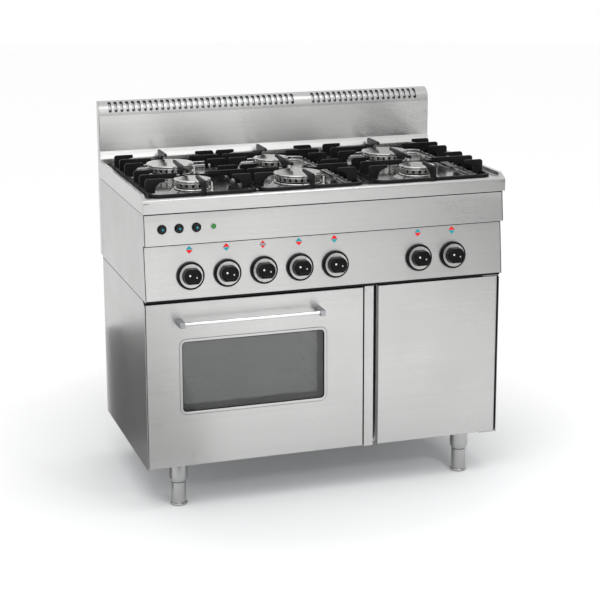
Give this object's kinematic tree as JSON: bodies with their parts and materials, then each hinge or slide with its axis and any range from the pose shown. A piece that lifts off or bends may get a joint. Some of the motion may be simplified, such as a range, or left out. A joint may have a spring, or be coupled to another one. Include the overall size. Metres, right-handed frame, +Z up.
{
  "type": "commercial gas range",
  "caption": "Free-standing stainless gas range: open burners with lift-off pan supports, drop-down oven door with window, side cupboard, rear flue upstand.",
  "frame": {"origin": "on the floor under the middle of the range's width and depth", "axes": "+X to the right seen from the front, +Y to the back, +Z up"},
  "size_m": [1.004, 0.608, 1.027],
  "materials": {
    "stainless": "fine horizontal brushed grain, satin",
    "galvanised": "matt galvanised sheet",
    "dark_steel": "satin inner door panel",
    "handle_steel": "polished round bar on satin end blocks",
    "leg_steel": "turned tube, satin",
    "enamel": "glossy oven enamel with fine speckle",
    "door_seal": "matt woven-look gasket",
    "rack_chrome": "bright wire",
    "manifold_metal": "cast and drawn metal, matt",
    "burner_alloy": "machined casting",
    "cap_steel": "polished cap with heat marks",
    "cast_iron": "matt black sand-cast",
    "knob_plastic": "moulded black, slight sheen",
    "knob_dial": "satin dial ring with printed ticks",
    "button_plastic": "moulded black",
    "lamp_green": "clear moulded lens",
    "oven_glass": "tempered, grey tint",
    "black_edge": "matt",
    "print_teal": "printed mark",
    "print_red": "printed mark",
    "fastener_steel": "small screws and pins",
    "ceramic_white": "electrode insulator",
    "brass_tip": "thermocouple tip"
  },
  "bodies": {
    "cabinet": {"worktop": "stainless", "divider_wall": "stainless", "upper_fascia": "stainless", "control_panel": "stainless", "upper_side_left": "stainless", "upper_side_right": "stainless", "lower_side_left": "stainless", "lower_side_right": "stainless", "front_frame": "stainless", "backguard": "stainless", "flue_grille": "stainless", "flue_housing": "stainless", "back_panel": "galvanised", "base_panel": "galvanised", "cupboard_hinge_top": "galvanised", "cupboard_hinge_bottom": "galvanised", "oven_burner": "galvanised", "leg_front_left": "leg_steel", "leg_rear_left": "leg_steel", "leg_front_right": "leg_steel", "leg_rear_right": "leg_steel", "oven_liner": "enamel", "oven_seal": "door_seal", "oven_rack": "rack_chrome", "gas_manifold": "manifold_metal", "burner_front_left": "burner_alloy", "burner_rear_left": "burner_alloy", "burner_front_middle": "burner_alloy", "burner_rear_middle": "burner_alloy", "burner_front_right": "burner_alloy", "burner_rear_right": "burner_alloy", "signal_lamp": "lamp_green"},
    "oven_door": {"oven_door_panel": "stainless", "oven_door_inner": "dark_steel", "oven_door_glass": "oven_glass", "oven_door_handle": "handle_steel"},
    "cupboard_door": {"cupboard_door": "stainless"},
    "burner_knob_1": {"burner_knob_1": "knob_plastic"},
    "burner_knob_2": {"burner_knob_2": "knob_plastic"},
    "oven_knob": {"oven_knob": "knob_plastic"},
    "burner_knob_3": {"burner_knob_3": "knob_plastic"},
    "burner_knob_4": {"burner_knob_4": "knob_plastic"},
    "burner_knob_5": {"burner_knob_5": "knob_plastic"},
    "burner_knob_6": {"burner_knob_6": "knob_plastic"},
    "igniter_button_1": {"igniter_button_1": "button_plastic"},
    "igniter_button_2": {"igniter_button_2": "button_plastic"},
    "igniter_button_3": {"igniter_button_3": "button_plastic"},
    "burner_cap_front_left": {"burner_cap_front_left": "cap_steel"},
    "burner_cap_rear_left": {"burner_cap_rear_left": "cap_steel"},
    "burner_cap_front_middle": {"burner_cap_front_middle": "cap_steel"},
    "burner_cap_rear_middle": {"burner_cap_rear_middle": "cap_steel"},
    "burner_cap_front_right": {"burner_cap_front_right": "cap_steel"},
    "burner_cap_rear_right": {"burner_cap_rear_right": "cap_steel"},
    "grate_left": {"grate_left": "cast_iron"},
    "grate_middle": {"grate_middle": "cast_iron"},
    "grate_right": {"grate_right": "cast_iron"},
    "foot_front_left": {"foot_front_left": "leg_steel"},
    "foot_rear_left": {"foot_rear_left": "leg_steel"},
    "foot_front_right": {"foot_front_right": "leg_steel"},
    "foot_rear_right": {"foot_rear_right": "leg_steel"}
  },
  "joints": [
    {"name": "oven_door_hinge", "type": "hinge", "parent": "cabinet", "child": "oven_door", "pos_m": [0, -0.248, 0.13], "axis": [1, 0, 0], "range_deg": [0, 90]},
    {"name": "cupboard_door_hinge", "type": "hinge", "parent": "cabinet", "child": "cupboard_door", "pos_m": [0.488, -0.249, 0.346], "axis": [0, 0, 1], "range_deg": [0, 95]},
    {"name": "burner_knob_1_turn", "type": "hinge", "parent": "cabinet", "child": "burner_knob_1", "pos_m": [-0.3785, -0.2653, 0.642], "axis": [0, -0.9945, 0.1045], "range_deg": [0, 180]},
    {"name": "burner_knob_2_turn", "type": "hinge", "parent": "cabinet", "child": "burner_knob_2", "pos_m": [-0.2795, -0.2653, 0.642], "axis": [0, -0.9945, 0.1045], "range_deg": [0, 180]},
    {"name": "oven_knob_turn", "type": "hinge", "parent": "cabinet", "child": "oven_knob", "pos_m": [-0.1805, -0.2653, 0.642], "axis": [0, -0.9945, 0.1045], "range_deg": [0, 270]},
    {"name": "burner_knob_3_turn", "type": "hinge", "parent": "cabinet", "child": "burner_knob_3", "pos_m": [-0.0815, -0.2653, 0.642], "axis": [0, -0.9945, 0.1045], "range_deg": [0, 180]},
    {"name": "burner_knob_4_turn", "type": "hinge", "parent": "cabinet", "child": "burner_knob_4", "pos_m": [0.0175, -0.2653, 0.642], "axis": [0, -0.9945, 0.1045], "range_deg": [0, 180]},
    {"name": "burner_knob_5_turn", "type": "hinge", "parent": "cabinet", "child": "burner_knob_5", "pos_m": [0.2555, -0.2653, 0.642], "axis": [0, -0.9945, 0.1045], "range_deg": [0, 180]},
    {"name": "burner_knob_6_turn", "type": "hinge", "parent": "cabinet", "child": "burner_knob_6", "pos_m": [0.3545, -0.2653, 0.642], "axis": [0, -0.9945, 0.1045], "range_deg": [0, 180]},
    {"name": "igniter_1_press", "type": "slide", "parent": "cabinet", "child": "igniter_button_1", "axis": [0, 0.9945, -0.1045], "range_m": [0, 0.003], "stiffness_N_per_m": 400, "springref_m": -0.004},
    {"name": "igniter_2_press", "type": "slide", "parent": "cabinet", "child": "igniter_button_2", "axis": [0, 0.9945, -0.1045], "range_m": [0, 0.003], "stiffness_N_per_m": 400, "springref_m": -0.004},
    {"name": "igniter_3_press", "type": "slide", "parent": "cabinet", "child": "igniter_button_3", "axis": [0, 0.9945, -0.1045], "range_m": [0, 0.003], "stiffness_N_per_m": 400, "springref_m": -0.004},
    {"name": "burner_cap_front_left_lift", "type": "slide", "parent": "cabinet", "child": "burner_cap_front_left", "axis": [0, 0, 1], "range_m": [0, 0.006]},
    {"name": "burner_cap_rear_left_lift", "type": "slide", "parent": "cabinet", "child": "burner_cap_rear_left", "axis": [0, 0, 1], "range_m": [0, 0.006]},
    {"name": "burner_cap_front_middle_lift", "type": "slide", "parent": "cabinet", "child": "burner_cap_front_middle", "axis": [0, 0, 1], "range_m": [0, 0.006]},
    {"name": "burner_cap_rear_middle_lift", "type": "slide", "parent": "cabinet", "child": "burner_cap_rear_middle", "axis": [0, 0, 1], "range_m": [0, 0.006]},
    {"name": "burner_cap_front_right_lift", "type": "slide", "parent": "cabinet", "child": "burner_cap_front_right", "axis": [0, 0, 1], "range_m": [0, 0.006]},
    {"name": "burner_cap_rear_right_lift", "type": "slide", "parent": "cabinet", "child": "burner_cap_rear_right", "axis": [0, 0, 1], "range_m": [0, 0.006]},
    {"name": "grate_left_lift", "type": "slide", "parent": "cabinet", "child": "grate_left", "axis": [0, 0, 1], "range_m": [0, 0.1]},
    {"name": "grate_middle_lift", "type": "slide", "parent": "cabinet", "child": "grate_middle", "axis": [0, 0, 1], "range_m": [0, 0.1]},
    {"name": "grate_right_lift", "type": "slide", "parent": "cabinet", "child": "grate_right", "axis": [0, 0, 1], "range_m": [0, 0.1]},
    {"name": "foot_front_left_adjust", "type": "slide", "parent": "cabinet", "child": "foot_front_left", "axis": [0, 0, -1], "range_m": [0, 0.03]},
    {"name": "foot_rear_left_adjust", "type": "slide", "parent": "cabinet", "child": "foot_rear_left", "axis": [0, 0, -1], "range_m": [0, 0.03]},
    {"name": "foot_front_right_adjust", "type": "slide", "parent": "cabinet", "child": "foot_front_right", "axis": [0, 0, -1], "range_m": [0, 0.03]},
    {"name": "foot_rear_right_adjust", "type": "slide", "parent": "cabinet", "child": "foot_rear_right", "axis": [0, 0, -1], "range_m": [0, 0.03]}
  ]
}
